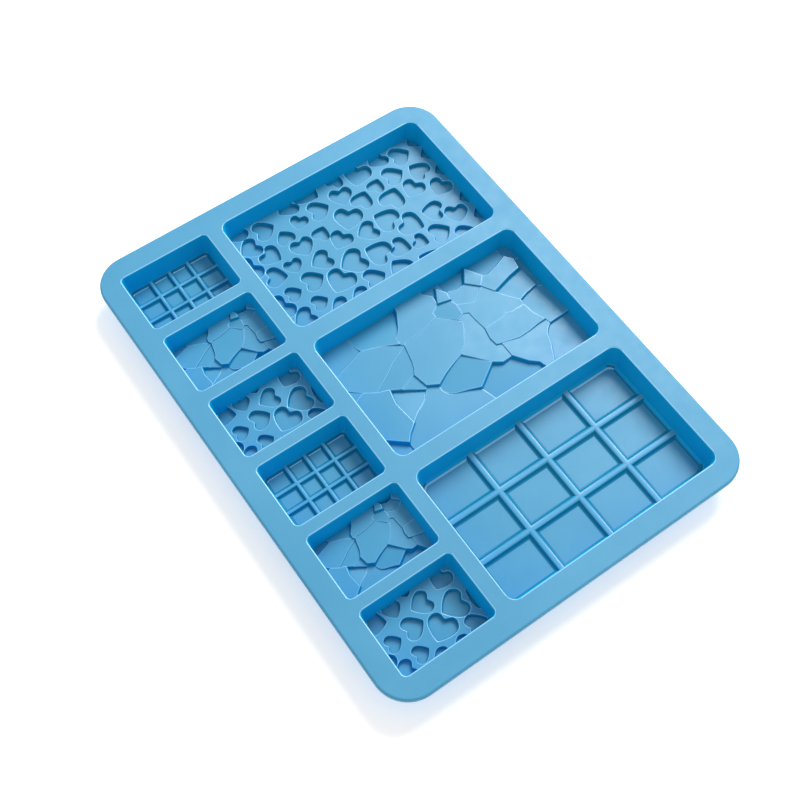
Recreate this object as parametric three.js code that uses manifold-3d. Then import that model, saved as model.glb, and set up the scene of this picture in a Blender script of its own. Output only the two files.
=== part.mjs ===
// Silicone soap mould: one flexible sheet with nine tray-shaped cavities hanging from it.
// Three large cavities (hearts, cracked stone, grid) stand beside a column of six small ones.
// Millimetres, +Z up. The origin is on the surface the mould rests on, under its middle.
// +X runs from the small column to the large one, +Y along the mould towards the hearts tray.
import * as THREE from 'three';
import { mergeVertices } from 'three/addons/utils/BufferGeometryUtils.js';
import Module from 'manifold-3d';

const wasm = await Module();
wasm.setup();

// ---- Driving dimensions ----
const mouldWidth = 200;
const mouldLength = 265;
const mouldHeight = 16;
const cornerRadius = 17;
const deckThickness = 3;
const rimWidth = 11.75;         // outer edge to the nearest cavity lip
const columnGap = 8.3;          // web between the two columns
const wallThickness = 2.4;
const wallDraft = 0.16;         // inset of a wall per millimetre of depth
const floorThickness = 2.8;     // rubber left under the deepest relief
const regionGap = 0.3;          // clearance between neighbouring regions of the casting

const smallCount = 6;
const smallWidth = 48.7;
const smallGap = 6.66;
const smallRadius = 2.4;
const largeCount = 3;
const largeGap = 9.9;
const largeRadius = 4.6;

// ---- Sizes that follow ----
const trayRun = mouldLength - 2 * rimWidth;
const smallLength = (trayRun - (smallCount - 1) * smallGap) / smallCount;
const largeLength = (trayRun - (largeCount - 1) * largeGap) / largeCount;
const largeWidth = mouldWidth - 2 * rimWidth - columnGap - smallWidth;
const deckUnderside = mouldHeight - deckThickness;
const wallTop = deckUnderside - regionGap;

// ---- Relief of the floors: heights are above floorThickness ----
const gridSmall = {
  columns: 4, rows: 3, ribHeight: 2.0, pocketDepth: 1.7, ribWidth: 1.15, slope: 1.1,
  edgeExtra: [1.65, 0.25],      // how much further the outer pockets reach than the inner ones
};
const gridLarge = {
  columns: 4, rows: 3, ribHeight: 2.0, pocketDepth: 1.9, ribWidth: 2.1, slope: 1.5,
  edgeExtra: [0.75, 0],
};
const edgeLedge = 0.4;          // rubber kept between a pocket and the side of its floor

const heartLand = 2.8;
const heartDepth = 2.3;
const heartTaper = 0.86;        // size of a heart's bottom beside its mouth
const heartDivisions = 2;         // chords in each of the six curves of an outline
// The hearts and the cracked stone are each one pattern. A large floor shows all of it at
// full scale, a small floor shows the part that falls on it, reduced and shifted.
const heartsLarge = { width: 115.9, length: 70.3, scale: 1, shift: [-0.6, -0.9] };
const heartsSmall = { width: 45.1, length: 31.1, scale: 0.9, shift: [24.9, 10.5] };
const crackLarge = { width: 115.9, length: 70.3, scale: 1, shift: [-0.6, -0.6], lift: 1.2, sink: 0.25 };
const crackSmall = {
  width: 45.1, length: 31.1, scale: 0.535, shift: [6.3, -0.4], lift: 1.5, sink: 0.8,
};

// Hearts as [x, y, width, direction of the tip in degrees].
const hearts = [
  [-53, 37.9, 14.8, 180], [-38.6, 29.3, 11.5, 0], [-51, 23.4, 11.4, 190], [-32.4, 19.6, 9.2, 95],
  [-21.6, 23, 9, 232], [-22, 34.5, 11.5, 195], [-8.6, 23.8, 11.5, -3], [-8.5, 36.5, 14.3, -55],
  [-28.2, 9.1, 11.6, 270], [-44.2, 13.7, 11.4, -58], [-48.6, 1.5, 11.3, -27], [-38.4, 2.1, 9.2, 267],
  [-15.9, 11.2, 9, 43], [-10.2, 1.7, 11.4, 216], [0.5, 10.4, 14, 236], [-25.2, -3, 11.5, 180],
  [-34.5, -10.5, 11.5, 0], [-47, -11.6, 8.8, 0], [-59, 12.5, 14, 200], [-58.2, -15.4, 14.4, 200],
  [-24, -18.8, 14.2, 217], [-12.6, -12.7, 14.2, 180], [1, -14.7, 13.5, 128], [-39, -23.2, 8.8, 0],
  [-50.7, -26.6, 11.5, 184], [-32.4, -32, 11.5, 190], [-20.6, -32.8, 11.5, 190], [-8.4, -27, 11.5, -3],
  [5.4, -29, 12, 105], [5.4, 24.2, 11.6, 257], [8.4, 35.1, 9.1, 43], [19.9, 30.9, 14, 232],
  [33.9, 33.7, 11.4, 195], [46.1, 29, 11.5, 0], [58.6, 33, 11.5, 190], [59, 22, 9, 180],
  [59, 9, 9, 180], [59, -12.4, 9, 180], [59, -25.2, 9, 180], [24.3, 20.1, 9, 45],
  [13.5, 16.8, 11, 43], [35.8, 20.2, 11.5, 0], [48.2, 15.6, 11.5, 116], [38.9, 7.2, 11.5, 215],
  [27.1, 8.9, 13, 45], [4, -1.5, 11.4, 180], [16, -0.3, 13.3, 125], [25.6, -10.8, 13.4, -49],
  [38.9, -9.7, 11.5, 150], [51.2, 0, 11.5, 214], [48.4, -18.6, 11.5, 251], [12.9, -19.3, 11, -42],
  [23.2, -22.1, 8.7, -45], [34.8, -23, 11.5, 0], [20.6, -34.5, 14.3, 125], [45.6, -31.6, 11.5, -5],
  [34.8, -36.9, 11.5, 90],
];

// Corners of the cracked stone, named so that neighbouring shards share them exactly.
const corners = {
  aa: [-64, 18], ab: [-50, 22], ac: [-38.5, 25.5], ad: [-39.8, 30], ae: [-39.5, 44], af: [-30, 22.5],
  ag: [-21, 17.5], ah: [-20.5, 21], ai: [-16.5, 25.5], aj: [-12, 33], ak: [-9, 44], al: [-19.5, 15.5],
  am: [-30, 10.8], an: [-36, 7], ao: [-45, 2.2], ap: [-51, 6], aq: [-64, 1], ar: [-64, 44],
  ba: [-39.3, 0.2], bb: [-41.2, -8], bc: [-39.8, -20.8], bd: [-44.7, -24.5], be: [-47.6, -27.8],
  bf: [-64, -14], bg: [-64, -44], bh: [-47, -44], bi: [-24.6, -9.3], bj: [-31.5, -15.3], bk: [-35, -17],
  bl: [-28, -13.2], bm: [-25, 0], bn: [-27.5, -0.4], bo: [-34, -2.8], bp: [-21.5, 7], bq: [-23, 3],
  ca: [-18, 16.8], cb: [-10, 17], cc: [-3, 18.3], cd: [2.5, 19.8], ce: [7, 15.7], cf: [10.5, 12.3],
  cg: [12, 10.5], ch: [10, 6.5], ci: [5, -0.5], cj: [0, -4], ck: [-5.5, -5.6], cl: [-12, -8],
  cm: [-18, -11], cn: [-23.5, -8], da: [4, 44], db: [4.5, 34.5], dc: [8, 30.5], dd: [7.4, 25.4],
  de: [2.6, 22.5], df: [14, 44], dg: [14.8, 27.7], dh: [14, 23.6], di: [15, 20], dj: [14.5, 14],
  dk: [11.5, 32.7],
  ea: [20, 17.5], eb: [23, 16.3], ec: [26, 17.5], ed: [31.3, 21.7], ee: [25.5, 27.5], ef: [20.5, 27],
  eg: [16, 28.7], eh: [30.5, 34.5], ei: [30, 44], ej: [35.8, 26], ek: [38, 25], el: [45, 26.8],
  em: [51.5, 29], en: [52, 44], eo: [54.5, 25.5], ep: [53.5, 19.6], eq: [47, 18.5], er: [35.3, 15.3],
  fa: [39, 9.5], fb: [43, 4.5], fc: [42.5, 1], fd: [35, 1.2], fe: [32, 2.4], ff: [30, 1.2],
  fg: [18.3, 0.8], fh: [17.5, 8], fi: [17.3, 12.8], fj: [55, 18], fk: [55, 7.3], fl: [48, 6],
  fm: [64, 27], fn: [64, 44], fo: [64, 2], fp: [64, -13.7], fq: [47, -14.4], fr: [46, -11.6],
  fs: [43.5, -6], ga: [17, -5], gb: [17.5, -9.5], gc: [20, -10.4], gd: [29, -12.8], ge: [35, -12.6],
  gf: [42, -11.7], gg: [44, -16.5], gh: [42, -18.5], gi: [40, -24], gj: [35.5, -32], gk: [33, -44],
  gl: [29, -29], gm: [25, -25.5], gn: [20, -18.5], go: [14.5, -18.8], gp: [10, -15.8], gq: [5, -19],
  ha: [-2, -23.5], hb: [-8, -21], hc: [-14, -19], hd: [-17, -17], he: [-18.4, -14], hf: [0.5, -32],
  hg: [1, -44], hh: [64, -44],
};
// Shards: corners in order, height of the middle above floorThickness, rise along X and Y.
const shards = [
  ['aa ab ac ad ae ar', 1, 0.02, -0.06],
  ['ac af ag ah ai aj ak ae ad', 1.6, 0, -0.15],
  ['aa ap ao an am al ag af ac ab', 2.5, 0, 0.01],
  ['aa aq ap', 1.9, 0.03, 0],
  ['aq bf be bd bc bb ba ao ap', 2.6, 0.01, 0],
  ['bf bg bh be', 0.3, 0.02, 0.02],
  ['ao ba bo bn bm bq bp al am an', 2.1, 0.01, 0],
  ['ba bb bc bk bj bl bi', 1.3, -0.03, -0.08],
  ['ba bi cn bm bn bo', 1.9, 0, 0],
  ['al bp bq bm cn cm cl ck cj ci ch cg cf ce cd cc cb ca', 2.8, 0, 0],
  ['ag al ca cb cc cd de dd dc db da ak aj ai ah', 3.2, 0, 0.02],
  ['db dc dd dk dg df da', 2, 0, -0.03],
  ['dk dd dh dg', 4.2, 0, 0],
  ['cd ce cf dj di dh dd de', 3.1, 0.04, 0],
  ['dh di ea eb ec ed ee ef eg dg', 3, 0, 0],
  ['dg eg ef ee eh ei df', 1, 0.02, -0.05],
  ['ee ed ej eh', 3.8, 0, 0],
  ['ej ek el em en ei eh', 1.2, 0.03, -0.05],
  ['ed er eq ep eo em el ek ej', 3.8, 0, 0],
  ['em eo fm fn en', 0.9, -0.03, 0],
  ['di dj fi fh fg ff fe fd fc fb fa er ed ec eb ea', 3.3, 0, 0],
  ['er fa fb fl fk fj ep eq', 2.2, 0, -0.08],
  ['ep fj fk fo fm eo', 1.2, -0.04, 0],
  ['fb fc fs fr fq fp fo fk fl', 2.1, 0, -0.08],
  ['fg ga gb gc gd ge gf fr fs fc fd fe ff', 3.5, 0, 0],
  ['cg ch ci cj gp go gn gc gb ga fg fh fi dj cf', 2.9, -0.02, 0],
  ['cm cl ck cj gp gq ha hb hc hd he', 1.9, 0.055, 0],
  ['gp go gn gm gl gk hg hf ha gq', 0.9, 0.04, 0.03],
  ['gc gn gm gl gk gj gi gh gg fq fr gf ge gd', 2.9, -0.025, 0],
  ['fq gg gh gi gj gk hh fp', 1.7, -0.02, 0],
  ['bc bd be bh hg hf ha hb hc hd he cm cn bi bl bj bk', 1.2, -0.01, 0.02],
];

// ---- Colour of the rubber ----
const silicone = (name, color, roughness) =>
  new THREE.MeshStandardMaterial({ name, color, roughness, metalness: 0 });
const deckRubber = silicone('deck_rubber', 0x74b6e4, 0.55);
const wallRubber = silicone('wall_rubber', 0x2f8fca, 0.45);
const floorRubber = silicone('floor_rubber', 0x66ade0, 0.45);

// ---- Solids ----
function toSolid(geometry) {
  geometry.deleteAttribute('normal');
  geometry.deleteAttribute('uv');
  const merged = mergeVertices(geometry, 1e-4);
  return new wasm.Manifold(new wasm.Mesh({
    numProp: 3,
    vertProperties: new Float32Array(merged.attributes.position.array),
    triVerts: new Uint32Array(merged.index.array),
  }));
}

function toMesh(solid, name, material) {
  const { vertProperties, triVerts } = solid.getMesh();
  const geometry = new THREE.BufferGeometry();
  geometry.setAttribute('position', new THREE.BufferAttribute(new Float32Array(vertProperties), 3));
  geometry.setIndex(new THREE.BufferAttribute(new Uint32Array(triVerts), 1));
  geometry.computeVertexNormals();
  const mesh = new THREE.Mesh(geometry, material);
  mesh.name = name;
  return mesh;
}

function roundedRectangle(width, length, radius) {
  const x = width / 2;
  const y = length / 2;
  const shape = new THREE.Shape();
  shape.moveTo(x, y - radius);
  shape.absarc(x - radius, y - radius, radius, 0, Math.PI / 2);
  shape.absarc(-x + radius, y - radius, radius, Math.PI / 2, Math.PI);
  shape.absarc(-x + radius, -y + radius, radius, Math.PI, 1.5 * Math.PI);
  shape.absarc(x - radius, -y + radius, radius, 1.5 * Math.PI, 2 * Math.PI);
  return shape;
}

// A block that follows the cavity's draft: width and length are those at the deck's top.
function draftedBlock(width, length, radius, low, high, draft = wallDraft, segments = 2) {
  const sizeAt = (size, z) => size - 2 * draft * (mouldHeight - z);
  const shape = roundedRectangle(sizeAt(width, high), sizeAt(length, high), radius);
  const geometry = new THREE.ExtrudeGeometry(shape, {
    depth: high - low, bevelEnabled: false, curveSegments: segments,
  });
  const shrinkX = sizeAt(width, low) / sizeAt(width, high);
  const shrinkY = sizeAt(length, low) / sizeAt(length, high);
  const position = geometry.attributes.position;
  for (let i = 0; i < position.count; i += 1) {
    const atFoot = position.getZ(i) < 1e-6;
    position.setX(i, position.getX(i) * (atFoot ? shrinkX : 1));
    position.setY(i, position.getY(i) * (atFoot ? shrinkY : 1));
    position.setZ(i, position.getZ(i) + low);
  }
  return geometry;
}

// ---- One heart, tip towards +X before it is turned ----
function heartShape(width) {
  const shape = new THREE.Shape();
  const at = (x, y) => [x * width, y * width];
  shape.moveTo(...at(-0.33, 0));
  shape.bezierCurveTo(...at(-0.36, -0.05), ...at(-0.46, -0.12), ...at(-0.46, -0.26));
  shape.bezierCurveTo(...at(-0.46, -0.4), ...at(-0.3, -0.5), ...at(-0.12, -0.5));
  shape.bezierCurveTo(...at(0.12, -0.5), ...at(0.36, -0.14), ...at(0.46, 0));
  shape.bezierCurveTo(...at(0.36, 0.14), ...at(0.12, 0.5), ...at(-0.12, 0.5));
  shape.bezierCurveTo(...at(-0.3, 0.5), ...at(-0.46, 0.4), ...at(-0.46, 0.26));
  shape.bezierCurveTo(...at(-0.46, 0.12), ...at(-0.36, 0.05), ...at(-0.33, 0));
  return shape;
}

function heartCutter(x, y, width, direction, bottom, land) {
  const over = 1;
  const geometry = new THREE.ExtrudeGeometry(heartShape(width), {
    depth: land + over - bottom, bevelEnabled: false, curveSegments: heartDivisions,
  });
  const position = geometry.attributes.position;
  for (let i = 0; i < position.count; i += 1) {
    const taper = position.getZ(i) < 1e-6 ? heartTaper : 1;
    position.setXYZ(i, position.getX(i) * taper, position.getY(i) * taper, position.getZ(i) + bottom);
  }
  geometry.rotateZ(direction * Math.PI / 180);
  geometry.translate(x, y, 0);
  return geometry;
}

// ---- Floors: each is built round its own centre ----
const floorSize = (size, z) => size - 2 * wallDraft * (mouldHeight - z) - 2 * regionGap;

function floorBlock(tray, high, inset = regionGap) {
  return toSolid(draftedBlock(tray.width - 2 * inset, tray.length - 2 * inset, tray.radius, 0, high));
}

function gridFloor(tray, grid) {
  const ribTop = floorThickness + grid.ribHeight;
  const pocketFloor = ribTop - grid.pocketDepth;
  const edgesAlong = (size, count, extra) => {
    const pitch = (size - 2 * extra) / count;
    const lines = [-size / 2 + edgeLedge];
    for (let i = 1; i < count; i += 1) {
      const rib = (i - count / 2) * pitch;
      lines.push(rib - grid.ribWidth / 2, rib + grid.ribWidth / 2);
    }
    return [...lines, size / 2 - edgeLedge];
  };
  const xs = edgesAlong(floorSize(tray.width, ribTop), grid.columns, grid.edgeExtra[0]);
  const ys = edgesAlong(floorSize(tray.length, ribTop), grid.rows, grid.edgeExtra[1]);
  let floor = floorBlock(tray, ribTop);
  for (let i = 0; i < xs.length; i += 2) {
    for (let j = 0; j < ys.length; j += 2) {
      floor = floor.subtract(toSolid(pocketCutter(xs[i], xs[i + 1], ys[j], ys[j + 1])));
    }
  }
  return floor;

  function pocketCutter(x0, x1, y0, y1) {
    const over = 0.5;
    const grow = grid.slope * over / grid.pocketDepth;
    const width = x1 - x0 + 2 * grow;
    const length = y1 - y0 + 2 * grow;
    const geometry = new THREE.BoxGeometry(width, length, grid.pocketDepth + over);
    const position = geometry.attributes.position;
    for (let i = 0; i < position.count; i += 1) {
      if (position.getZ(i) < 0) {
        position.setX(i, Math.sign(position.getX(i)) * ((x1 - x0) / 2 - grid.slope));
        position.setY(i, Math.sign(position.getY(i)) * ((y1 - y0) / 2 - grid.slope));
      }
    }
    geometry.translate((x0 + x1) / 2, (y0 + y1) / 2, pocketFloor + (grid.pocketDepth + over) / 2);
    return geometry;
  }
}

// Places a pattern's point on a floor, stretched if the floor is not of its usual size.
function placer(tray, pattern, high) {
  const stretchX = (floorSize(tray.width, high) + 2 * regionGap) / pattern.width;
  const stretchY = (floorSize(tray.length, high) + 2 * regionGap) / pattern.length;
  return (x, y) => [
    (x * pattern.scale + pattern.shift[0]) * stretchX,
    (y * pattern.scale + pattern.shift[1]) * stretchY,
  ];
}

function heartFloor(tray, pattern) {
  const land = floorThickness + heartLand;
  const place = placer(tray, pattern, land);
  const reachX = floorSize(tray.width, land) / 2;
  const reachY = floorSize(tray.length, land) / 2;
  const withinLedge = floorBlock(tray, land + 2, regionGap + edgeLedge);
  let floor = floorBlock(tray, land);
  for (const [heartX, heartY, heartWidth, direction] of hearts) {
    const [x, y] = place(heartX, heartY);
    const width = heartWidth * pattern.scale;
    if (Math.abs(x) - 0.42 * width < reachX && Math.abs(y) - 0.42 * width < reachY) {
      const cutter = toSolid(heartCutter(x, y, width, direction, land - heartDepth, land));
      floor = floor.subtract(cutter.intersect(withinLedge));
    }
  }
  return floor;
}

function shardBlock(names, height, riseX, riseY, place, pattern, low) {
  const points = names.split(' ').map((name) => new THREE.Vector2(...place(...corners[name])));
  if (THREE.ShapeUtils.isClockWise(points)) {
    points.reverse();
  }
  const middle = new THREE.Vector2();
  points.forEach((point) => middle.add(point));
  middle.divideScalar(points.length);
  const geometry = new THREE.ExtrudeGeometry(new THREE.Shape(points), { depth: 1, bevelEnabled: false });
  const position = geometry.attributes.position;
  for (let i = 0; i < position.count; i += 1) {
    const tilt = riseX * (position.getX(i) - middle.x) + riseY * (position.getY(i) - middle.y);
    const top = floorThickness + Math.max(0.2, (height + tilt) * pattern.lift - pattern.sink);
    position.setZ(i, position.getZ(i) < 0.5 ? low : top);
  }
  return geometry;
}

function crackedFloor(tray, pattern) {
  const tallest = floorThickness + 6;
  const place = placer(tray, pattern, floorThickness + heartLand);
  const low = floorThickness / 2;
  const blocks = shards.map(([names, height, riseX, riseY]) =>
    toSolid(shardBlock(names, height, riseX, riseY, place, pattern, low)));
  const relief = blocks.reduce((joined, block) => joined.add(block));
  return relief.intersect(floorBlock(tray, tallest)).add(floorBlock(tray, floorThickness));
}

// ---- Trays ----
const smallX = -mouldWidth / 2 + rimWidth + smallWidth / 2;
const largeX = mouldWidth / 2 - rimWidth - largeWidth / 2;
const rowY = (row, count, length, gap) => ((count - 1) / 2 - row) * (length + gap);

const largeFloors = [
  ['hearts', (tray) => heartFloor(tray, heartsLarge)],
  ['cracked', (tray) => crackedFloor(tray, crackLarge)],
  ['grid', (tray) => gridFloor(tray, gridLarge)],
];
const smallFloors = [
  ['grid', (tray) => gridFloor(tray, gridSmall)],
  ['cracked', (tray) => crackedFloor(tray, crackSmall)],
  ['hearts', (tray) => heartFloor(tray, heartsSmall)],
];

const trays = [];
for (let row = 0; row < largeCount; row += 1) {
  const [relief, makeFloor] = largeFloors[row % largeFloors.length];
  trays.push({
    name: `large_${relief}`, makeFloor, x: largeX, y: rowY(row, largeCount, largeLength, largeGap),
    width: largeWidth, length: largeLength, radius: largeRadius,
  });
}
for (let row = 0; row < smallCount; row += 1) {
  const [relief, makeFloor] = smallFloors[row % smallFloors.length];
  trays.push({
    name: `small_${relief}_${row < smallFloors.length ? 'a' : 'b'}`, makeFloor,
    x: smallX, y: rowY(row, smallCount, smallLength, smallGap),
    width: smallWidth, length: smallLength, radius: smallRadius,
  });
}

// ---- The deck: a flat sheet with an opening over every tray ----
function makeDeck() {
  let deck = toSolid(draftedBlock(mouldWidth, mouldLength, cornerRadius, deckUnderside, mouldHeight, 0, 5));
  for (const tray of trays) {
    const over = 1;
    const [low, high] = [deckUnderside - over, mouldHeight + over];
    const opening = draftedBlock(tray.width, tray.length, tray.radius, low, high);
    opening.translate(tray.x, tray.y, 0);
    deck = deck.subtract(toSolid(opening));
  }
  return toMesh(deck, 'deck', deckRubber);
}

function makeWall(tray) {
  const over = 1;
  const outside = [tray.width + 2 * wallThickness, tray.length + 2 * wallThickness];
  const outer = toSolid(draftedBlock(...outside, tray.radius + wallThickness, 0, wallTop));
  const inner = toSolid(draftedBlock(tray.width, tray.length, tray.radius, -over, wallTop + over));
  return toMesh(outer.subtract(inner), `wall_${tray.name}`, wallRubber);
}

const mould = new THREE.Group();
mould.add(makeDeck());
for (const tray of trays) {
  const parts = new THREE.Group();
  parts.position.set(tray.x, tray.y, 0);
  parts.add(makeWall(tray), toMesh(tray.makeFloor(tray), `floor_${tray.name}`, floorRubber));
  mould.add(parts);
}

export default mould;
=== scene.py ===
import math
import bpy
from mathutils import Matrix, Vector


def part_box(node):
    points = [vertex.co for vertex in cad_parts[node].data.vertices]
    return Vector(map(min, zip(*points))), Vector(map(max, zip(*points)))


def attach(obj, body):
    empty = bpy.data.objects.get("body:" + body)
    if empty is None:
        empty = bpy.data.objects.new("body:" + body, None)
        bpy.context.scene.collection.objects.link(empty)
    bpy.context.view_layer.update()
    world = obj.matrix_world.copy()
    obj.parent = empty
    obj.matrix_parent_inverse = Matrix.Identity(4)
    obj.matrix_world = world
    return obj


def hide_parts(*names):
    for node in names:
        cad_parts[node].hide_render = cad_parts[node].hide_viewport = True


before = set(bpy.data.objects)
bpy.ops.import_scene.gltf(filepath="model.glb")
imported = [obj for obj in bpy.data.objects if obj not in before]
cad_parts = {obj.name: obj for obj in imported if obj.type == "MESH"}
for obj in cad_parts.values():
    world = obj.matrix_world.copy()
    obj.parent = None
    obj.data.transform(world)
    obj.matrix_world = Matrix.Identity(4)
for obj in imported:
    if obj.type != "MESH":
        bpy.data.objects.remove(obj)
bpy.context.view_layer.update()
bpy.ops.object.select_all(action="DESELECT")
mm = 0.001
closeBy = 1e-6          # two heights no further apart than this are one height
sliver = 0.006 * mm     # keeps the ring of a cutter off the surface that it cuts
level = 0.9             # a face whose normal rises more than this is a top
flat = 0.995            # and with more than this it is painted as flat relief
print("frame loaded,", len(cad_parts), "nodes")


# Camera, floor and studio light.
studio = {
    "cameraPlace": (-0.17591, -0.23171, 0.53495),
    "cameraRight": (0.81629, -0.57755, 0.01051),
    "cameraUp": (0.50731, 0.72548, 0.46510),
    "cameraBack": (-0.27624, -0.37432, 0.88520),
    "lens": 56.47,
    "sensorWidth": 36,
    "clipStart": 10 * mm,
    "floorSize": 6.0,
    "floorColour": (0.95, 0.95, 0.95, 1),
    "floorRough": 0.9,
    "floorShine": 0.1,
    "floorGlow": 0.38,
    "floorGlowColour": (1.0, 0.94, 0.88, 1),
    "skyColour": (1.0, 1.0, 1.0, 1),
    "skyStrength": 0.62,
    "keyPlace": (1.24, 0.76, 1.38),
    "keySize": 1.1,
    "keyPower": 46.0,
}

scene = bpy.context.scene
bpy.ops.object.camera_add(location=studio["cameraPlace"])
camera = bpy.context.object
camera.name = "studio_camera"
axes = [studio["cameraRight"], studio["cameraUp"], studio["cameraBack"]]
turn = Matrix(axes).transposed().to_4x4()
camera.matrix_world = Matrix.Translation(studio["cameraPlace"]) @ turn
camera.data.lens = studio["lens"]
camera.data.sensor_width = studio["sensorWidth"]
camera.data.clip_start = studio["clipStart"]
camera.data.dof.use_dof = False
scene.camera = camera
scene.view_settings.view_transform = "Standard"

bpy.ops.mesh.primitive_plane_add(size=studio["floorSize"])
tableTop = bpy.context.object
tableTop.name = "pale_floor"
paper = bpy.data.materials.new("pale_paper")
paper.use_nodes = True
paperShader = paper.node_tree.nodes["Principled BSDF"]
paperShader.inputs["Base Color"].default_value = studio["floorColour"]
paperShader.inputs["Roughness"].default_value = studio["floorRough"]
paperShader.inputs["Specular IOR Level"].default_value = studio["floorShine"]
paperShader.inputs["Emission Color"].default_value = studio["floorGlowColour"]
paperShader.inputs["Emission Strength"].default_value = studio["floorGlow"]
tableTop.data.materials.append(paper)

world = bpy.data.worlds.new("studio_sky")
scene.world = world
world.use_nodes = True
world.node_tree.nodes["Background"].inputs["Color"].default_value = studio["skyColour"]
world.node_tree.nodes["Background"].inputs["Strength"].default_value = studio["skyStrength"]

bpy.ops.object.light_add(type="AREA", location=studio["keyPlace"])
keyLight = bpy.context.object
keyLight.name = "key_softbox"
keyLight.data.shape = "DISK"
keyLight.data.size = studio["keySize"]
keyLight.data.energy = studio["keyPower"]
keyLight.rotation_euler = (-keyLight.location).to_track_quat("-Z", "Y").to_euler()
bpy.ops.object.select_all(action="DESELECT")
print("camera, floor and light ready")


# Silicone finishes: a soft colour drift, a fine moulded grain and a change in gloss. The deck and
# relief finishes are the silicone's own colour; the others are lighter and darker copies of it that
# paint highlights and shade.
finishes = {
    "deckSilicone": {
        "colour": (0.055, 0.285, 0.480, 1), "drift": (0.070, 0.310, 0.510, 1),
        "rough": (0.44, 0.54), "grain": 0.30, "shine": 0.5,
    },
    # Painted highlight: a lighter copy of the silicone for the worn edges of the shards.
    "lipHighlightSilicone": {
        "colour": (0.120, 0.400, 0.640, 1), "drift": (0.150, 0.430, 0.670, 1),
        "rough": (0.24, 0.32), "grain": 0.05, "shine": 0.6,
    },
    # Painted shade: the deep saturated blue that the silicone takes in shade and bounced light, for
    # the cups, the lower lips and the ribs beside the walls.
    "wallShadeSilicone": {
        "colour": (0.000, 0.368, 0.705, 1), "drift": (0.004, 0.398, 0.745, 1),
        "rough": (0.40, 0.50), "grain": 0.10, "shine": 0.15,
    },
    "reliefSilicone": {
        "colour": (0.038, 0.268, 0.462, 1), "drift": (0.050, 0.292, 0.492, 1),
        "rough": (0.34, 0.44), "grain": 0.12, "shine": 0.5,
    },
    # Painted highlight: a slightly lighter copy for the crowns of the ribs.
    "crownHighlightSilicone": {
        "colour": (0.050, 0.300, 0.520, 1), "drift": (0.062, 0.325, 0.550, 1),
        "rough": (0.30, 0.38), "grain": 0.06, "shine": 0.5,
    },
    # Painted highlight: a much lighter copy for the lip tops, the rims round the hearts and the far
    # feet of the grid cells.
    "rimHighlightSilicone": {
        "colour": (0.230, 0.540, 0.780, 1), "drift": (0.260, 0.570, 0.810, 1),
        "rough": (0.24, 0.32), "grain": 0.04, "shine": 0.7,
    },
    # Painted shade: a darker copy for the sloping sides of the ribs.
    "grooveShadeSilicone": {
        "colour": (0.000, 0.180, 0.340, 1), "drift": (0.003, 0.200, 0.370, 1),
        "rough": (0.38, 0.48), "grain": 0.10, "shine": 0.25,
    },
    # Painted shade: a darker copy for the sides of the hearts and of the shards.
    "pocketShadeSilicone": {
        "colour": (0.000, 0.240, 0.450, 1), "drift": (0.003, 0.265, 0.485, 1),
        "rough": (0.38, 0.48), "grain": 0.10, "shine": 0.25,
    },
}


# What all the finishes share. Each noise has a scale and a detail.
rubber = {
    "ior": 1.43,
    "glow": 0.12,
    "glowColour": (0.35, 0.8, 1.0),
    "glowReach": 1.2 * mm,
    "cloud": (28, 3),
    "cloudRange": (0.32, 0.70),
    "smear": (160, 4),
    "smearRange": (0.3, 0.7),
    "grain": (1800, 2),
    "grainHeight": 0.06 * mm,
}


def makeSilicone(name):
    look = finishes[name]
    silicone = bpy.data.materials.new(name)
    silicone.use_nodes = True
    nodes = silicone.node_tree.nodes
    links = silicone.node_tree.links
    shader = nodes["Principled BSDF"]
    shader.inputs["IOR"].default_value = rubber["ior"]
    shader.inputs["Specular IOR Level"].default_value = look["shine"]
    shader.inputs["Subsurface Weight"].default_value = rubber["glow"]
    shader.inputs["Subsurface Radius"].default_value = rubber["glowColour"]
    shader.inputs["Subsurface Scale"].default_value = rubber["glowReach"]
    place = nodes.new("ShaderNodeTexCoord")

    def addNoise(kind):
        noise = nodes.new("ShaderNodeTexNoise")
        noise.inputs["Scale"].default_value = rubber[kind][0]
        noise.inputs["Detail"].default_value = rubber[kind][1]
        links.new(place.outputs["Object"], noise.inputs["Vector"])
        return noise.outputs["Fac"]

    tint = nodes.new("ShaderNodeValToRGB")
    first, last = tint.color_ramp.elements
    first.position, last.position = rubber["cloudRange"]
    first.color, last.color = look["colour"], look["drift"]
    links.new(addNoise("cloud"), tint.inputs["Fac"])
    links.new(tint.outputs["Color"], shader.inputs["Base Color"])

    gloss = nodes.new("ShaderNodeMapRange")
    gloss.inputs["From Min"].default_value = rubber["smearRange"][0]
    gloss.inputs["From Max"].default_value = rubber["smearRange"][1]
    gloss.inputs["To Min"].default_value = look["rough"][0]
    gloss.inputs["To Max"].default_value = look["rough"][1]
    links.new(addNoise("smear"), gloss.inputs["Value"])
    links.new(gloss.outputs["Result"], shader.inputs["Roughness"])

    relief = nodes.new("ShaderNodeBump")
    relief.inputs["Strength"].default_value = look["grain"]
    relief.inputs["Distance"].default_value = rubber["grainHeight"]
    links.new(addNoise("grain"), relief.inputs["Height"])
    links.new(relief.outputs["Normal"], shader.inputs["Normal"])
    return silicone


deckSilicone = makeSilicone("deckSilicone")
lipHighlightSilicone = makeSilicone("lipHighlightSilicone")
wallShadeSilicone = makeSilicone("wallShadeSilicone")
reliefSilicone = makeSilicone("reliefSilicone")
crownHighlightSilicone = makeSilicone("crownHighlightSilicone")
rimHighlightSilicone = makeSilicone("rimHighlightSilicone")
grooveShadeSilicone = makeSilicone("grooveShadeSilicone")
pocketShadeSilicone = makeSilicone("pocketShadeSilicone")
print("silicone finishes ready")


# Small helpers for working on one mesh at a time.
def useOnly(thing):
    if bpy.context.mode != "OBJECT":
        bpy.ops.object.mode_set(mode="OBJECT")
    bpy.ops.object.select_all(action="DESELECT")
    thing.select_set(True)
    bpy.context.view_layer.objects.active = thing


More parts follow.
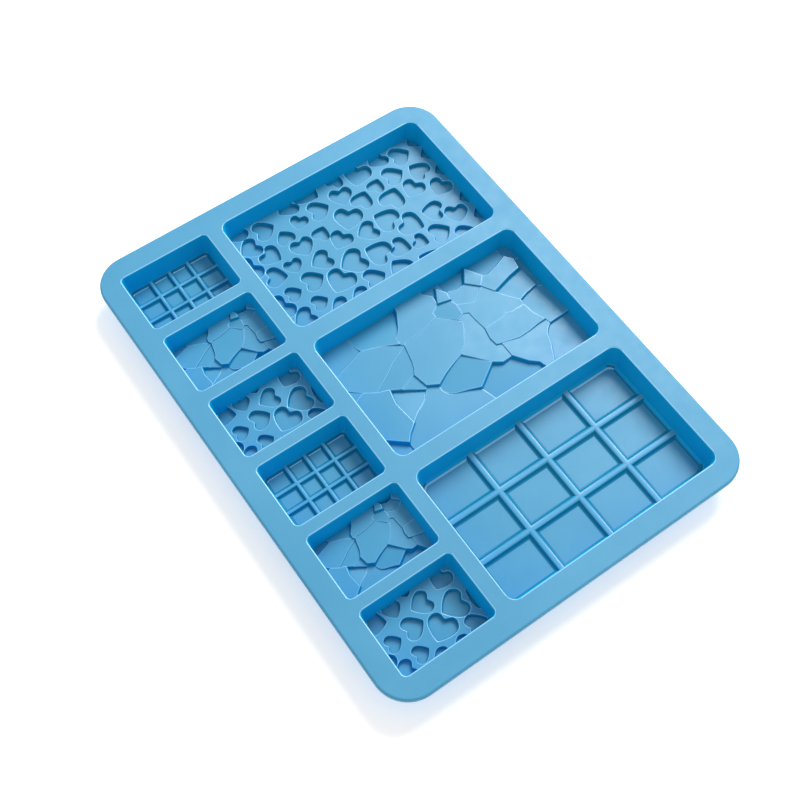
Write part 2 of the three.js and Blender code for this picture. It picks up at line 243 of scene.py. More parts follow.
def pick(thing, kind, test):
    # Leaves the mesh in edit mode with the edges or faces that pass the test selected.
    useOnly(thing)
    bpy.ops.object.mode_set(mode="EDIT")
    bpy.ops.mesh.select_mode(type=kind)
    bpy.ops.mesh.select_all(action="DESELECT")
    bpy.ops.object.mode_set(mode="OBJECT")
    mesh = thing.data
    if kind == "FACE":
        for face in mesh.polygons:
            face.select = test(face.center, face.normal)
    else:
        for edge in mesh.edges:
            first, second = (mesh.vertices[i].co for i in edge.vertices)
            edge.select = test(first, second)
    bpy.ops.object.mode_set(mode="EDIT")


def leaveEdit():
    bpy.ops.object.mode_set(mode="OBJECT")


def roundEdges(radius, steps):
    bpy.ops.mesh.bevel(offset=radius, segments=steps, affect="EDGES")


def extrudeUp(height):
    bpy.ops.mesh.extrude_region_move(TRANSFORM_OT_translate={"value": (0, 0, height)})


def addBlock(name, middle, size):
    bpy.ops.object.select_all(action="DESELECT")
    bpy.ops.mesh.primitive_cube_add(size=1, location=middle)
    block = bpy.context.object
    block.name = name
    block.scale = size
    bpy.ops.object.transform_apply(location=True, rotation=True, scale=True)
    return block


def carve(thing, tool, how="DIFFERENCE"):
    useOnly(thing)
    step = thing.modifiers.new("carve", "BOOLEAN")
    step.operation = how
    step.solver = "MANIFOLD"
    step.object = tool
    bpy.ops.object.modifier_apply(modifier=step.name)
    bpy.data.objects.remove(tool, do_unlink=True)


def softShade(thing, angle=40):
    useOnly(thing)
    bpy.ops.object.shade_smooth_by_angle(angle=math.radians(angle))
    weigh = thing.modifiers.new("weigh", "WEIGHTED_NORMAL")
    weigh.keep_sharp = True
    bpy.ops.object.modifier_apply(modifier=weigh.name)


def paint(thing, silicones, choose):
    thing.data.materials.clear()
    for silicone in silicones:
        thing.data.materials.append(silicone)
    for face in thing.data.polygons:
        face.material_index = choose(face.center, face.normal)


def finishPiece(thing, name, slotName, *nodes):
    thing.name = name
    thing.data.name = name
    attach(thing, "root")
    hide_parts(*nodes)


# Where the trays are, read from the frame.
tray = {
    "draft": 0.16,            # how far a wall leans in for each unit of depth
    "wallThickness": 2.4 * mm,
    "baseThickness": 0.6 * mm,
    "footRounding": 1.8 * mm,
    "footSteps": 4,
    "floorLow": 0.4 * mm,     # where the floors start, inside the base of a cup
    "tuck": 0.3 * mm,         # how far a floor reaches into the walls round it
    "smallCorner": 2.4 * mm,
    "largeCorner": 4.6 * mm,
    "cornerSteps": 7,
}
deckLow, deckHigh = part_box("deck")
deckTop = deckHigh.z
deckUnder = deckLow.z


def readTray(name):
    low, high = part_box("wall_" + name)
    lean = 2 * tray["draft"] * (deckTop - high.z)
    return {
        "name": name,
        "x": (low.x + high.x) / 2,
        "y": (low.y + high.y) / 2,
        "width": high.x - low.x + lean - 2 * tray["wallThickness"],
        "length": high.y - low.y + lean - 2 * tray["wallThickness"],
        "corner": tray["largeCorner"] if "large" in name else tray["smallCorner"],
        "floorTop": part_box("floor_" + name)[1].z,
    }


trayNames = sorted(n[5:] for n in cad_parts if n.startswith("wall_"))
trays = {name: readTray(name) for name in trayNames}


def sizeAt(size, height, grow=0.0):
    return size + 2 * grow - 2 * tray["draft"] * (deckTop - height)


def leanTo(spot, end, start, grow=0.0):
    # Takes the picked part from the tray's size at one height to its size at another.
    value = [
        sizeAt(spot[side], end, grow) / sizeAt(spot[side], start, grow)
        for side in ("width", "length")
    ]
    bpy.ops.transform.resize(value=(*value, 1), center_override=(spot["x"], spot["y"], end))


def draftedBlock(name, spot, low, high, grow=0.0):
    # A block with the tray's lean and rounded upright corners.
    wide, long = sizeAt(spot["width"], high, grow), sizeAt(spot["length"], high, grow)
    block = addBlock(name, (spot["x"], spot["y"], (low + high) / 2), (wide, long, high - low))
    pick(block, "FACE", lambda centre, normal: normal.z < -level)
    leanTo(spot, low, high, grow)
    pick(block, "EDGE", lambda a, b: abs(a.z - b.z) > (high - low) / 2)
    roundEdges(spot["corner"] + grow, tray["cornerSteps"])
    leaveEdit()
    return block


# The deck: a rounded slab, opened over every tray with a soft lip.
deck = {
    "cornerRadius": 17 * mm,
    "cornerSteps": 16,
    "topRounding": 1.2 * mm,
    "topSteps": 5,
    "underRounding": 0.7 * mm,
    "underSteps": 3,
    "lipRadius": 0.7 * mm,
    "lipSteps": 4,
    "brightLip": 0.3 * mm,    # how far down a lip gets the painted highlight
    "sheetNormal": 0.98,      # the part of a lip that still has the deck's finish
    "over": 1.0 * mm,
}


def lippedCutter(spot):
    radius = deck["lipRadius"]
    cutter = draftedBlock("opening", spot, deckUnder - deck["over"], deckTop - radius)
    wide, long = sizeAt(spot["width"], deckTop - radius), sizeAt(spot["length"], deckTop - radius)
    was, wasOut = deckTop - radius, 0.0
    rings = [math.pi / 2 * (i + 1) / deck["lipSteps"] for i in range(deck["lipSteps"])]
    profile = [(radius * (1 - math.cos(t)), deckTop - radius + radius * math.sin(t)) for t in rings]
    profile[-1] = (profile[-1][0], deckTop + sliver)
    profile.append((profile[-1][0], deckTop + deck["over"]))
    for out, height in profile:
        pick(cutter, "FACE", lambda centre, normal: normal.z > level and centre.z > was - closeBy)
        extrudeUp(height - was)
        grow = ((wide + 2 * out) / (wide + 2 * wasOut), (long + 2 * out) / (long + 2 * wasOut), 1)
        bpy.ops.transform.resize(value=grow, center_override=(spot["x"], spot["y"], height))
        was, wasOut = height, out
    leaveEdit()
    return cutter


def makeDeck():
    middle = (deckLow + deckHigh) / 2
    slab = addBlock("deck_sheet", middle, deckHigh - deckLow)
    pick(slab, "EDGE", lambda a, b: abs(a.z - b.z) > (deckTop - deckUnder) / 2)
    roundEdges(deck["cornerRadius"], deck["cornerSteps"])
    pick(slab, "EDGE", lambda a, b: min(a.z, b.z) > deckTop - closeBy)
    roundEdges(deck["topRounding"], deck["topSteps"])
    pick(slab, "EDGE", lambda a, b: max(a.z, b.z) < deckUnder + closeBy)
    roundEdges(deck["underRounding"], deck["underSteps"])
    leaveEdit()
    for spot in trays.values():
        carve(slab, lippedCutter(spot))
    softShade(slab)

    # Lip tops get the painted highlight and the rest of each lip the painted shade of the walls.
    def chooseFinish(centre, normal):
        inside = any(
            abs(centre.x - s["x"]) < s["width"] / 2 + deck["lipRadius"]
            and abs(centre.y - s["y"]) < s["length"] / 2 + deck["lipRadius"]
            for s in trays.values()
        )
        if not inside or normal.z > deck["sheetNormal"]:
            return 0
        return 1 if centre.z > deckTop - deck["brightLip"] else 2

    paint(slab, [deckSilicone, rimHighlightSilicone, wallShadeSilicone], chooseFinish)
    finishPiece(slab, "deck_sheet", "deck_silicone", "deck")
    print("deck done,", len(slab.data.polygons), "faces")


makeDeck()


# The cups that hang from the deck.
def makeCup(spot):
    grow = tray["wallThickness"]
    cup = draftedBlock("cup", spot, 0, deckUnder, grow)
    pick(cup, "EDGE", lambda a, b: max(a.z, b.z) < closeBy)
    roundEdges(tray["footRounding"], tray["footSteps"])
    pick(cup, "FACE", lambda centre, normal: normal.z > level)
    bpy.ops.mesh.inset(thickness=grow, depth=0)
    extrudeUp(tray["baseThickness"] - deckUnder)
    leanTo(spot, tray["baseThickness"], deckUnder)
    leaveEdit()
    softShade(cup)
    # The whole cup takes the painted shade of the walls.
    paint(cup, [wallShadeSilicone], lambda centre, normal: 0)
    finishPiece(cup, "cup_" + spot["name"], "wall_silicone", "wall_" + spot["name"])


for spot in trays.values():
    makeCup(spot)
print("cups done")


# Grid floors: a block cut into cells, each cell sunk with sloping sides.
gridLook = {
    "large": {"rib": 2.1 * mm, "slope": 1.5 * mm, "depth": 1.9 * mm, "crown": 0.55 * mm,
              "foot": 0.55 * mm, "edgeExtra": (0.75 * mm, 0)},
    "small": {"rib": 1.15 * mm, "slope": 1.1 * mm, "depth": 1.7 * mm, "crown": 0.35 * mm,
              "foot": 0.4 * mm, "edgeExtra": (1.65 * mm, 0.25 * mm)},
    "columns": 4,
    "rows": 3,
    "steps": 3,
    "wallRib": 0.1 * mm,      # how much of the outer ribs shows beside the walls
    "sideBand": 0.3 * mm,
    "crownPart": 0.7,         # how far down the painted highlight on a crown goes, as a part of its radius
    "footPart": 0.6,
    "footNormal": -0.1,       # the side of a rib that faces the near edge
}


def makeGridFloor(spot):
    look = gridLook["large" if "large" in spot["name"] else "small"]
    top = spot["floorTop"]
    grow = look["rib"] / 2 - gridLook["wallRib"]
    block = draftedBlock("grid", spot, tray["floorLow"], top, grow)
    cuts = []
    for axis, (size, count) in enumerate(
        [(spot["width"], gridLook["columns"]), (spot["length"], gridLook["rows"])]
    ):
        pitch = (sizeAt(size, top) - 2 * look["edgeExtra"][axis]) / count
        for i in range(1, count):
            cuts.append((axis, (spot["x"], spot["y"])[axis] + (i - count / 2) * pitch))
    for axis, at in cuts:
        useOnly(block)
        bpy.ops.object.mode_set(mode="EDIT")
        bpy.ops.mesh.select_all(action="SELECT")
        point = (at, 0, 0) if axis == 0 else (0, at, 0)
        normal = (1, 0, 0) if axis == 0 else (0, 1, 0)
        bpy.ops.mesh.bisect(plane_co=point, plane_no=normal)
    pick(block, "FACE", lambda centre, normal: normal.z > level)
    bpy.ops.mesh.inset(thickness=look["rib"] / 2, use_individual=True)
    bpy.ops.mesh.inset(thickness=look["slope"], depth=-look["depth"], use_individual=True)
    leaveEdit()
    outX = sizeAt(spot["width"], top, grow) / 2 - gridLook["sideBand"]
    outY = sizeAt(spot["length"], top, grow) / 2 - gridLook["sideBand"]
    reachX = sizeAt(spot["width"], top) / 2 - look["rib"] / 2
    reachY = sizeAt(spot["length"], top) / 2 - look["rib"] / 2

    def onCut(a, b):
        return any(min(abs(a[axis] - at), abs(b[axis] - at)) < closeBy for axis, at in cuts)

    def onSide(a, b):
        middleX, middleY = (a.x + b.x) / 2 - spot["x"], (a.y + b.y) / 2 - spot["y"]
        return abs(middleX) > outX or abs(middleY) > outY

    def onRib(a, b):
        return min(a.z, b.z) > top - closeBy and not onCut(a, b) and not onSide(a, b)

    def onFoot(a, b):
        return max(abs(end.z - top + look["depth"]) for end in (a, b)) < closeBy

    pick(block, "EDGE", onRib)
    roundEdges(look["crown"], gridLook["steps"])
    pick(block, "EDGE", onFoot)
    roundEdges(look["foot"], gridLook["steps"])
    leaveEdit()
    softShade(block)

    def chooseFinish(centre, normal):
        # 0 flat relief, 1 crown of a rib with a painted highlight, 2 foot with a painted highlight,
        # 3 side of a rib with painted shade, 4 rib by the wall with the walls' painted shade
        byWall = abs(centre.x - spot["x"]) > reachX or abs(centre.y - spot["y"]) > reachY
        if centre.z > top - look["crown"] * gridLook["crownPart"]:
            return 4 if byWall else 1
        if normal.z > flat:
            return 0
        footHigh = top - look["depth"] + look["foot"] * gridLook["footPart"]
        farFootHighlight = normal.y < gridLook["footNormal"] and centre.z < footHigh
        if farFootHighlight and centre.y - spot["y"] > reachY - look["slope"] - look["rib"]:
            return 2
        return 4 if byWall else 3

    paint(
        block, [reliefSilicone, crownHighlightSilicone, rimHighlightSilicone, grooveShadeSilicone, wallShadeSilicone],
        chooseFinish,
    )
    finishPiece(block, "floor_relief_" + spot["name"], "relief_silicone", "floor_" + spot["name"])


for spot in trays.values():
    if "grid" in spot["name"]:
        makeGridFloor(spot)
print("grid floors done")


# Heart floors: one sunken heart is modelled, copied to its places and pressed into a block.
heartLook = {
    "rimWidth": 0.5 * mm,
    "rimStep": 0.04 * mm,      # the rim round a heart lies a little below the land
    "rimStart": 0.02 * mm,
    "mouthRadius": 0.4 * mm,
    "mouthSteps": 3,
    "mouthPart": 0.4,          # how much of the mouth's rounding lies outside a heart's width
    "depth": 2.3 * mm,
    "sideLean": 0.32,          # how far a side leans in for each unit of depth
    "footRadius": 0.45 * mm,
    "footSteps": 2,
    "over": 1.0 * mm,
    "modelWidth": 11.5 * mm,
    "curveSteps": 7,
    "weld": 0.001 * mm,
    "halfSpan": 0.42,          # a heart is cut if this part of its width reaches the floor
    "capNormal": 0.99,
    "landPart": 0.3,           # where the painted highlight on the rim starts, as a part of the rim's step
    "rimPart": 0.25,           # and where the painted shade on the sides starts, as a part of the mouth's radius
    # Points and handles of the whole outline at width 1, going round from the cleft.
    "outline": [
        ((-0.345, 0), (-0.348, 0.04), (-0.348, -0.04)),
        ((-0.46, -0.25), (-0.46, -0.13), (-0.46, -0.39)),
        ((-0.13, -0.515), (-0.30, -0.515), (0.10, -0.515)),
        ((0.455, 0), (0.448, -0.08), (0.448, 0.08)),
        ((-0.13, 0.515), (0.10, 0.515), (-0.30, 0.515)),
        ((-0.46, 0.25), (-0.46, 0.39), (-0.46, 0.13)),
    ],
    "large": {"width": 115.9, "length": 70.3, "scale": 1, "shift": (-0.6, -0.9)},
    "small": {"width": 45.1, "length": 31.1, "scale": 0.9, "shift": (24.9, 10.5)},
    # Hearts as (x, y, width, direction of the tip in degrees), in millimetres.
    "hearts": [
        (-53, 37.9, 14.8, 180), (-38.6, 29.3, 11.5, 0), (-51, 23.4, 11.4, 190),
        (-32.4, 19.6, 9.2, 95), (-21.6, 23, 9, 232), (-22, 34.5, 11.5, 195),
        (-8.6, 23.8, 11.5, -3), (-8.5, 36.5, 14.3, -55), (-28.2, 9.1, 11.6, 270),
        (-44.2, 13.7, 11.4, -58), (-48.6, 1.5, 11.3, -27), (-38.4, 2.1, 9.2, 267),
        (-15.9, 11.2, 9, 43), (-10.2, 1.7, 11.4, 216), (0.5, 10.4, 14, 236),
        (-25.2, -3, 11.5, 180), (-34.5, -10.5, 11.5, 0), (-47, -11.6, 8.8, 0),
        (-59, 12.5, 14, 200), (-58.2, -15.4, 14.4, 200), (-24, -18.8, 14.2, 217),
        (-12.6, -12.7, 14.2, 180), (1, -14.7, 13.5, 128), (-39, -23.2, 8.8, 0),
        (-50.7, -26.6, 11.5, 184), (-32.4, -32, 11.5, 190), (-20.6, -32.8, 11.5, 190),
        (-8.4, -27, 11.5, -3), (5.4, -29, 12, 105), (5.4, 24.2, 11.6, 257), (8.4, 35.1, 9.1, 43),
        (19.9, 30.9, 14, 232), (33.9, 33.7, 11.4, 195), (46.1, 29, 11.5, 0), (58.6, 33, 11.5, 190),
        (59, 22, 9, 180), (59, 9, 9, 180), (59, -12.4, 9, 180), (59, -25.2, 9, 180),
        (24.3, 20.1, 9, 45), (13.5, 16.8, 11, 43), (35.8, 20.2, 11.5, 0), (48.2, 15.6, 11.5, 116),
        (38.9, 7.2, 11.5, 215), (27.1, 8.9, 13, 45), (4, -1.5, 11.4, 180),
        (16, -0.3, 13.3, 125), (25.6, -10.8, 13.4, -49), (38.9, -9.7, 11.5, 150),
        (51.2, 0, 11.5, 214), (48.4, -18.6, 11.5, 251), (12.9, -19.3, 11, -42),
        (23.2, -22.1, 8.7, -45), (34.8, -23, 11.5, 0), (20.6, -34.5, 14.3, 125),
        (45.6, -31.6, 11.5, -5), (34.8, -36.9, 11.5, 90),
    ],
}


patternHeight = 5.6 * mm


def placer(spot, look):
    # Puts a point of a pattern, in millimetres, on a floor, stretched to the floor's own size.
    stretchX = sizeAt(spot["width"], patternHeight) / look["width"]
    stretchY = sizeAt(spot["length"], patternHeight) / look["length"]
    return lambda x, y: (
        spot["x"] + (x * look["scale"] + look["shift"][0]) * stretchX,
        spot["y"] + (y * look["scale"] + look["shift"][1]) * stretchY,
    )


def makeHeartCutter(land):
    look = heartLook
    bpy.ops.object.select_all(action="DESELECT")
    bpy.ops.curve.primitive_bezier_curve_add(radius=10 * mm)
    outline = bpy.context.object
    curve = outline.data
    curve.dimensions = "2D"
    curve.fill_mode = "NONE"
    curve.resolution_u = look["curveSteps"]
    spline = curve.splines[0]
    spline.bezier_points.add(len(look["outline"]) - 2)
    spline.use_cyclic_u = True
    wide = look["modelWidth"] + 2 * (look["mouthRadius"] * look["mouthPart"] + look["rimWidth"])
    for point, (at, before, after) in zip(spline.bezier_points, look["outline"]):
        point.handle_left_type = point.handle_right_type = "FREE"
        point.co = (at[0] * wide, at[1] * wide, 0)
        point.handle_left = (before[0] * wide, before[1] * wide, 0)
        point.handle_right = (after[0] * wide, after[1] * wide, 0)
    bpy.ops.object.convert(target="MESH")
    heart = bpy.context.object
    bpy.ops.object.mode_set(mode="EDIT")
    bpy.ops.mesh.select_all(action="SELECT")
    bpy.ops.mesh.remove_doubles(threshold=look["weld"])
    bpy.ops.mesh.edge_face_add()
    bpy.ops.transform.translate(value=(0, 0, land + look["over"]))
    extrudeUp(sliver - look["over"])
    mouth, lean, foot = look["mouthRadius"], look["sideLean"], look["footRadius"]
    rim, step = look["rimWidth"], look["rimStep"]
    # The sides of a heart, as steps inward and down from its edge.
    steps = [(look["rimStart"], step), (rim, step)]
    for i in range(1, look["mouthSteps"] + 1):
        angle = math.pi / 2 * i / look["mouthSteps"]
        steps.append((rim + mouth * math.sin(angle), step + mouth * (1 - math.cos(angle))))
    wallDrop = look["depth"] - foot
    wallIn = rim + mouth + lean * (wallDrop - mouth - step)
    steps.append((wallIn, wallDrop))
    for i in range(1, look["footSteps"] + 1):
        angle = math.pi / 2 * i / look["footSteps"]
        steps.append((wallIn + foot * (1 - math.cos(angle)), wallDrop + foot * math.sin(angle)))
    wasIn, wasDeep = 0.0, -sliver
    low = land + sliver

    def onCap(centre, normal):
        return abs(normal.z) > look["capNormal"] and centre.z < low + closeBy / 10

    for inward, deep in steps:
        pick(heart, "FACE", onCap)
        bpy.ops.mesh.inset(thickness=inward - wasIn, depth=0)
        bpy.ops.transform.translate(value=(0, 0, wasDeep - deep))
        low = land - deep
        wasIn, wasDeep = inward, deep
    bpy.ops.mesh.select_all(action="SELECT")
    bpy.ops.mesh.normals_make_consistent(inside=False)
    leaveEdit()
    return heart


def makeHeartFloor(spot):
    look = heartLook["large" if "large" in spot["name"] else "small"]
    land = spot["floorTop"]
    block = draftedBlock("hearts", spot, tray["floorLow"], land, tray["tuck"])
    place = placer(spot, look)
    reachX = sizeAt(spot["width"], land) / 2
    reachY = sizeAt(spot["length"], land) / 2
    model = makeHeartCutter(land)
    copies = []
    for heartX, heartY, heartWidth, direction in heartLook["hearts"]:
        x, y = place(heartX, heartY)
        wide = heartWidth * look["scale"] * mm
        span = heartLook["halfSpan"] * wide
        if abs(x - spot["x"]) - span < reachX and abs(y - spot["y"]) - span < reachY:
            twin = model.copy()
            twin.data = model.data.copy()
            scene.collection.objects.link(twin)
            twin.scale = (wide / heartLook["modelWidth"], wide / heartLook["modelWidth"], 1)
            twin.rotation_euler = (0, 0, math.radians(direction))
            twin.location = (x, y, 0)
            copies.append(twin)
    bpy.data.objects.remove(model, do_unlink=True)
    for twin in copies:
        useOnly(twin)
        bpy.ops.object.transform_apply(location=True, rotation=True, scale=True)
        carve(block, twin)
    softShade(block)

    def chooseFinish(centre, normal):
        # 0 land and foot, 1 rim with a painted highlight, 2 side with painted shade
        if centre.z > land - heartLook["landPart"] * heartLook["rimStep"]:
            return 0
        if centre.z > land - heartLook["rimPart"] * heartLook["mouthRadius"]:
            return 1
        return 0 if normal.z > flat else 2

    paint(block, [reliefSilicone, rimHighlightSilicone, pocketShadeSilicone], chooseFinish)
    finishPiece(block, "floor_relief_" + spot["name"], "relief_silicone", "floor_" + spot["name"])
    print(block.name, len(block.data.polygons), "faces")


for spot in trays.values():
    if "hearts" in spot["name"]:
        makeHeartFloor(spot)
print("heart floors done")


# Cracked floors: each shard is a slab with its own height and tilt and a worn edge.
crackLook = {
    "edgeWear": 0.38 * mm,
    "wearSteps": 2,
    "smallWear": 0.65,        # how much less the small shards are worn
    "sideLean": 0.42,
    "sharpest": 0.5,          # keeps the foot of a sharp corner from running out
    "base": 2.8 * mm,
    "sunk": 0.3 * mm,         # how far the foot of a shard is sunk in the base
    "lowest": 0.2 * mm,
    "blank": 2 * mm,          # the height of a shard before its top is placed
    "footBand": 0.1 * mm,
    "baseTuck": 1.2 * mm,     # how far a base reaches into the walls before it is trimmed
    "trimLow": 0.2 * mm,
    "trimHigh": 9 * mm,
    "shadeAngle": 25,
    "steep": 0.75,            # sides of shards get painted shade
    "large": {"width": 115.9, "length": 70.3, "scale": 1, "shift": (-0.6, -0.6), "lift": 1.2,
              "sink": 0.25 * mm},
    "small": {"width": 45.1, "length": 31.1, "scale": 0.535, "shift": (6.3, -0.4), "lift": 1.5,
              "sink": 0.8 * mm},
    # Corners of the shards by name, in millimetres.
    "corners": {
        "aa": (-64, 18), "ab": (-50, 22), "ac": (-38.5, 25.5), "ad": (-39.8, 30),
        "ae": (-39.5, 44), "af": (-30, 22.5), "ag": (-21, 17.5), "ah": (-20.5, 21),
        "ai": (-16.5, 25.5), "aj": (-12, 33), "ak": (-9, 44), "al": (-19.5, 15.5),
        "am": (-30, 10.8), "an": (-36, 7), "ao": (-45, 2.2), "ap": (-51, 6), "aq": (-64, 1),
        "ar": (-64, 44), "ba": (-39.3, 0.2), "bb": (-41.2, -8), "bc": (-39.8, -20.8),
        "bd": (-44.7, -24.5), "be": (-47.6, -27.8), "bf": (-64, -14), "bg": (-64, -44),
        "bh": (-47, -44), "bi": (-24.6, -9.3), "bj": (-31.5, -15.3), "bk": (-35, -17),
        "bl": (-28, -13.2), "bm": (-25, 0), "bn": (-27.5, -0.4), "bo": (-34, -2.8),
        "bp": (-21.5, 7), "bq": (-23, 3), "ca": (-18, 16.8), "cb": (-10, 17), "cc": (-3, 18.3),
        "cd": (2.5, 19.8), "ce": (7, 15.7), "cf": (10.5, 12.3), "cg": (12, 10.5), "ch": (10, 6.5),
        "ci": (5, -0.5), "cj": (0, -4), "ck": (-5.5, -5.6), "cl": (-12, -8), "cm": (-18, -11),
        "cn": (-23.5, -8), "da": (4, 44), "db": (4.5, 34.5), "dc": (8, 30.5), "dd": (7.4, 25.4),
        "de": (2.6, 22.5), "df": (14, 44), "dg": (14.8, 27.7), "dh": (14, 23.6), "di": (15, 20),
        "dj": (14.5, 14), "dk": (11.5, 32.7), "ea": (20, 17.5), "eb": (23, 16.3),
        "ec": (26, 17.5), "ed": (31.3, 21.7), "ee": (25.5, 27.5), "ef": (20.5, 27),
        "eg": (16, 28.7), "eh": (30.5, 34.5), "ei": (30, 44), "ej": (35.8, 26), "ek": (38, 25),
        "el": (45, 26.8), "em": (51.5, 29), "en": (52, 44),
        "eo": (54.5, 25.5), "ep": (53.5, 19.6), "eq": (47, 18.5), "er": (35.3, 15.3),
        "fa": (39, 9.5), "fb": (43, 4.5), "fc": (42.5, 1), "fd": (35, 1.2), "fe": (32, 2.4),
        "ff": (30, 1.2), "fg": (18.3, 0.8), "fh": (17.5, 8), "fi": (17.3, 12.8), "fj": (55, 18),
        "fk": (55, 7.3), "fl": (48, 6), "fm": (64, 27), "fn": (64, 44), "fo": (64, 2),
        "fp": (64, -13.7), "fq": (47, -14.4), "fr": (46, -11.6), "fs": (43.5, -6), "ga": (17, -5),
        "gb": (17.5, -9.5), "gc": (20, -10.4), "gd": (29, -12.8), "ge": (35, -12.6),
        "gf": (42, -11.7), "gg": (44, -16.5), "gh": (42, -18.5), "gi": (40, -24),
        "gj": (35.5, -32), "gk": (33, -44), "gl": (29, -29), "gm": (25, -25.5), "gn": (20, -18.5),
        "go": (14.5, -18.8), "gp": (10, -15.8), "gq": (5, -19), "ha": (-2, -23.5), "hb": (-8, -21),
        "hc": (-14, -19), "hd": (-17, -17), "he": (-18.4, -14), "hf": (0.5, -32), "hg": (1, -44),
        "hh": (64, -44),
    },
    # Shards: corners in order, height of the middle, rise along x and y.
    "shards": [
        ("aa ab ac ad ae ar", 1, 0.02, -0.06),
        ("ac af ag ah ai aj ak ae ad", 1.6, 0, -0.15),
        ("aa ap ao an am al ag af ac ab", 2.5, 0, 0.01),
        ("aa aq ap", 1.9, 0.03, 0),
        ("aq bf be bd bc bb ba ao ap", 2.6, 0.01, 0),
        ("bf bg bh be", 0.3, 0.02, 0.02),
        ("ao ba bo bn bm bq bp al am an", 2.1, 0.01, 0),
        ("ba bb bc bk bj bl bi", 1.3, -0.03, -0.08),
        ("ba bi cn bm bn bo", 1.9, 0, 0),
        ("al bp bq bm cn cm cl ck cj ci ch cg cf ce cd cc cb ca", 2.8, 0, 0),
        ("ag al ca cb cc cd de dd dc db da ak aj ai ah", 3.2, 0, 0.02),
        ("db dc dd dk dg df da", 2, 0, -0.03),
        ("dk dd dh dg", 4.2, 0, 0),
        ("cd ce cf dj di dh dd de", 3.1, 0.04, 0),
        ("dh di ea eb ec ed ee ef eg dg", 3, 0, 0),
        ("dg eg ef ee eh ei df", 1, 0.02, -0.05),
        ("ee ed ej eh", 3.8, 0, 0),
        ("ej ek el em en ei eh", 1.2, 0.03, -0.05),
        ("ed er eq ep eo em el ek ej", 3.8, 0, 0),
        ("em eo fm fn en", 0.9, -0.03, 0),
        ("di dj fi fh fg ff fe fd fc fb fa er ed ec eb ea", 3.3, 0, 0),
        ("er fa fb fl fk fj ep eq", 2.2, 0, -0.08),
        ("ep fj fk fo fm eo", 1.2, -0.04, 0),
        ("fb fc fs fr fq fp fo fk fl", 2.1, 0, -0.08),
        ("fg ga gb gc gd ge gf fr fs fc fd fe ff", 3.5, 0, 0),
        ("cg ch ci cj gp go gn gc gb ga fg fh fi dj cf", 2.9, -0.02, 0),
        ("cm cl ck cj gp gq ha hb hc hd he", 1.9, 0.055, 0),
        ("gp go gn gm gl gk hg hf ha gq", 0.9, 0.04, 0.03),
        ("gc gn gm gl gk gj gi gh gg fq fr gf ge gd", 2.9, -0.025, 0),
        ("fq gg gh gi gj gk hh fp", 1.7, -0.02, 0),
        ("bc bd be bh hg hf ha hb hc hd he cm cn bi bl bj bk", 1.2, -0.01, 0.02),
    ],
}


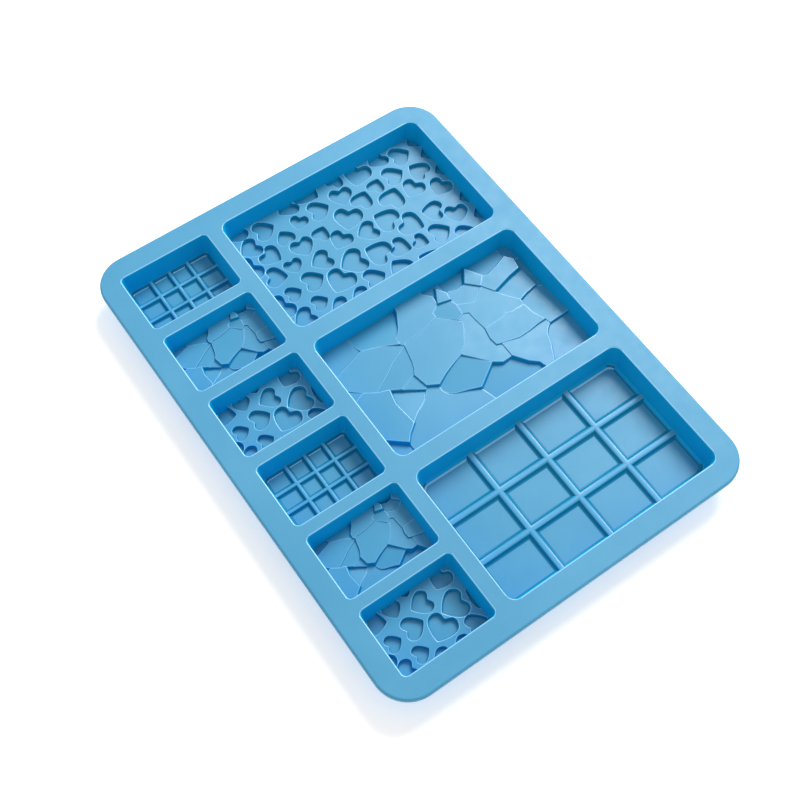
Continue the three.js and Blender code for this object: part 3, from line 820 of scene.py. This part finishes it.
def makeShard(spot, look, place, names, height, riseX, riseY):
    points = [place(*crackLook["corners"][name]) for name in names.split()]
    turnSum = sum(
        a[0] * b[1] - b[0] * a[1] for a, b in zip(points, points[1:] + points[:1])
    )
    if turnSum < 0:
        points.reverse()
    middleX = sum(p[0] for p in points) / len(points)
    middleY = sum(p[1] for p in points) / len(points)
    bpy.ops.object.select_all(action="DESELECT")
    bpy.ops.mesh.primitive_circle_add(vertices=len(points), radius=10 * mm, fill_type="NGON")
    shard = bpy.context.object
    shard.data.materials.append(reliefSilicone)
    shard.data.materials.append(lipHighlightSilicone)
    foot = crackLook["base"] - crackLook["sunk"]
    for corner, point in zip(shard.data.vertices, points):
        corner.co = (point[0], point[1], foot)
    useOnly(shard)
    bpy.ops.object.mode_set(mode="EDIT")
    bpy.ops.mesh.select_all(action="SELECT")
    extrudeUp(crackLook["blank"])
    bpy.ops.mesh.select_all(action="SELECT")
    bpy.ops.mesh.normals_make_consistent(inside=False)
    leaveEdit()
    # The top follows the shard's tilt and the foot spreads out, so that the sides lean.
    for corner in shard.data.vertices:
        where = (corner.co.x, corner.co.y)
        i = min(range(len(points)), key=lambda k: math.dist(points[k], where))
        tilt = riseX * (where[0] - middleX) + riseY * (where[1] - middleY)
        rise = (height * mm + tilt) * look["lift"] - look["sink"]
        top = crackLook["base"] + max(crackLook["lowest"], rise)
        if corner.co.z > foot + crackLook["blank"] / 2:
            corner.co.z = top
        else:
            before, here, after = points[i - 1], points[i], points[(i + 1) % len(points)]
            firstTurn = math.atan2(here[1] - before[1], here[0] - before[0])
            secondTurn = math.atan2(after[1] - here[1], after[0] - here[0])
            bend = (secondTurn - firstTurn + math.pi) % (2 * math.pi) - math.pi
            aim = firstTurn + bend / 2 - math.pi / 2
            spread = crackLook["sideLean"] * (top - foot) / max(
                math.cos(bend / 2), crackLook["sharpest"]
            )
            corner.co.x += spread * math.cos(aim)
            corner.co.y += spread * math.sin(aim)
    pick(shard, "EDGE", lambda a, b: min(a.z, b.z) > foot + crackLook["footBand"])
    wear = crackLook["edgeWear"] * (1 if look["scale"] == 1 else crackLook["smallWear"])
    # The worn edges take the lighter finish, a painted highlight.
    bpy.ops.mesh.bevel(offset=wear, segments=crackLook["wearSteps"], affect="EDGES", material=1)
    leaveEdit()
    return shard


def makeCrackedFloor(spot):
    look = crackLook["large" if "large" in spot["name"] else "small"]
    floor = draftedBlock(
        "cracked", spot, tray["floorLow"], crackLook["base"], crackLook["baseTuck"]
    )
    floor.data.materials.append(reliefSilicone)
    floor.data.materials.append(lipHighlightSilicone)
    place = placer(spot, look)
    for names, height, riseX, riseY in crackLook["shards"]:
        carve(floor, makeShard(spot, look, place, names, height, riseX, riseY), "UNION")
    trim = draftedBlock("trim", spot, crackLook["trimLow"], crackLook["trimHigh"], tray["tuck"])
    carve(floor, trim, "INTERSECT")
    softShade(floor, crackLook["shadeAngle"])
    # Steep sides take the painted shade of the pockets.
    floor.data.materials.append(pocketShadeSilicone)
    for face in floor.data.polygons:
        if face.normal.z < crackLook["steep"] and face.material_index == 0:
            face.material_index = len(floor.data.materials) - 1
    finishPiece(floor, "floor_relief_" + spot["name"], "relief_silicone", "floor_" + spot["name"])
    print(floor.name, len(floor.data.polygons), "faces")


for spot in trays.values():
    if "cracked" in spot["name"]:
        makeCrackedFloor(spot)
print("cracked floors done")
